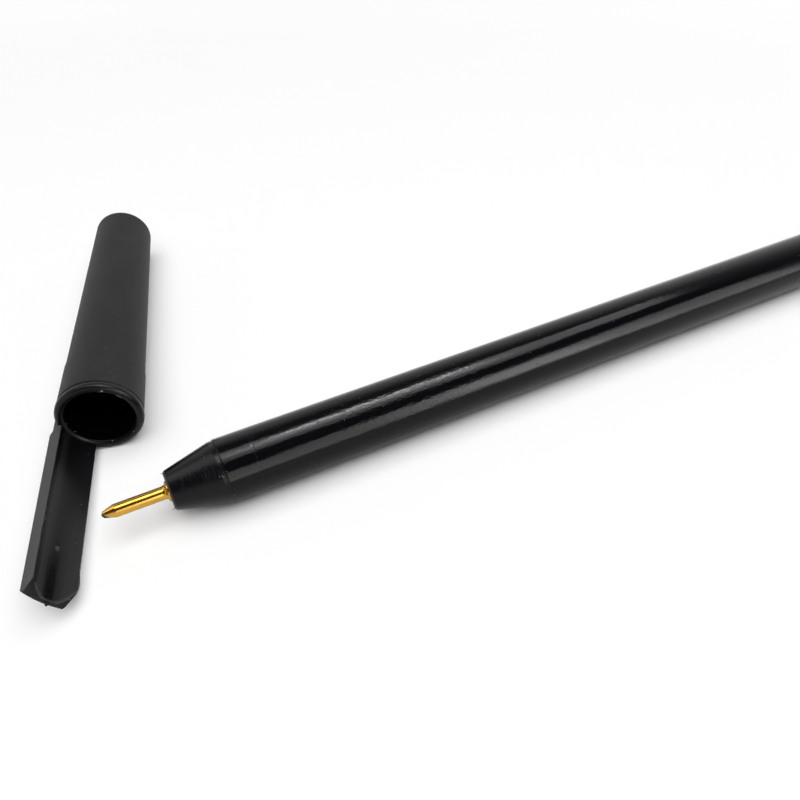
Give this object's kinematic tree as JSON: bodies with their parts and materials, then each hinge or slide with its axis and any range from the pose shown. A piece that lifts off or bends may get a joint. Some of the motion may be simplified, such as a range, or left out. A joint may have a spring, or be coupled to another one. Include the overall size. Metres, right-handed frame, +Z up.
{
  "type": "capped ballpoint stick pen",
  "caption": "Slim black stick pen with a brass ball point in a nose cone, an ink tube and a vented rear plug, lying beside its taken-off cap with a pocket clip.",
  "frame": {"origin": "on the pen's axis, in the plane of the barrel's front edge", "axes": "+X along the pen from its point to its rear plug, +Z up from the table that the pen and its cap lie on, +Y to the side where the cap lies"},
  "size_m": [0.1407, 0.067, 0.0107],
  "materials": {
    "barrel_plastic": "glossy black, drawn lengthwise",
    "nose_plastic": "satin black, lightly scuffed",
    "point_brass": "turned and polished",
    "ball_metal": "polished, wet with ink",
    "tube_plastic": "milky",
    "ink": "wet black paste",
    "grease": "clear yellowish gel",
    "plug_plastic": "glossy black",
    "cap_plastic": "satin black, as moulded"
  },
  "bodies": {
    "pen": {"barrel": "barrel_plastic", "nose_cone": "nose_plastic", "point_body": "point_brass", "ink_tube": "tube_plastic", "ink_column": "ink", "ink_follower": "grease", "rear_plug": "plug_plastic"},
    "ball": {"writing_ball": "ball_metal"},
    "cap": {"cap_shell": "cap_plastic"},
    "clip": {"cap_clip": "cap_plastic"}
  },
  "joints": [
    {"name": "ball_roll", "type": "hinge", "parent": "pen", "child": "ball", "pos_m": [-0.01355, 0, 0], "axis": [0, 1, 0], "continuous": true},
    {"name": "cap_lift", "type": "slide", "parent": "pen", "child": "cap", "axis": [0, 0, 1], "range_m": [0, 0.03]},
    {"name": "clip_flex", "type": "hinge", "parent": "cap", "child": "clip", "pos_m": [-0.01531, 0.01473, -0.00168], "axis": [0.5543, -0.1742, -0.8139], "range_deg": [0, 6], "stiffness_Nm_per_rad": 0.2}
  ]
}
